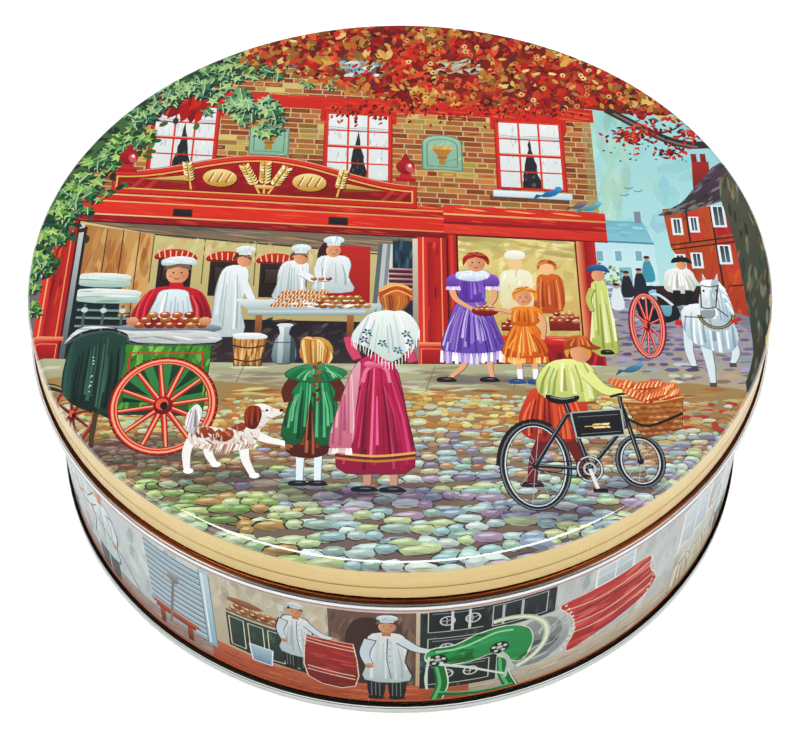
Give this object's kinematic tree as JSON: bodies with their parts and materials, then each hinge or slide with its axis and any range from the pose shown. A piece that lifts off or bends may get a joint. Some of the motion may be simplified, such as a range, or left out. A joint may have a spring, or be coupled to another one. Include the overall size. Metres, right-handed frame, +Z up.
{
  "type": "round slip-lid biscuit tin",
  "caption": "Round shallow decorated tinplate tin with a lift-off cap lid, a beaded wall and a double-seamed base.",
  "frame": {"origin": "centre of the bottom seam, on the surface that the tin stands on", "axes": "+Z up along the tin's axis, towards the lid; -Y towards the front of the lid's picture; the welded side seam is at +Y"},
  "size_m": [0.2026, 0.2026, 0.07],
  "materials": {
    "printed_wall": "gloss print and varnish on tinplate",
    "tinplate": "bright bare tinplate",
    "gold_lacquer": "satin gold lacquer on tinplate",
    "lid_artwork": "gloss lithographed picture",
    "wall_artwork": "gloss lithographed picture"
  },
  "bodies": {
    "tin": {"body_wall": "printed_wall", "base": "tinplate"},
    "lid": {"lid": "gold_lacquer"}
  },
  "joints": [
    {"name": "lid_lift", "type": "slide", "parent": "tin", "child": "lid", "axis": [0, 0, 1], "range_m": [0, 0.08]}
  ]
}
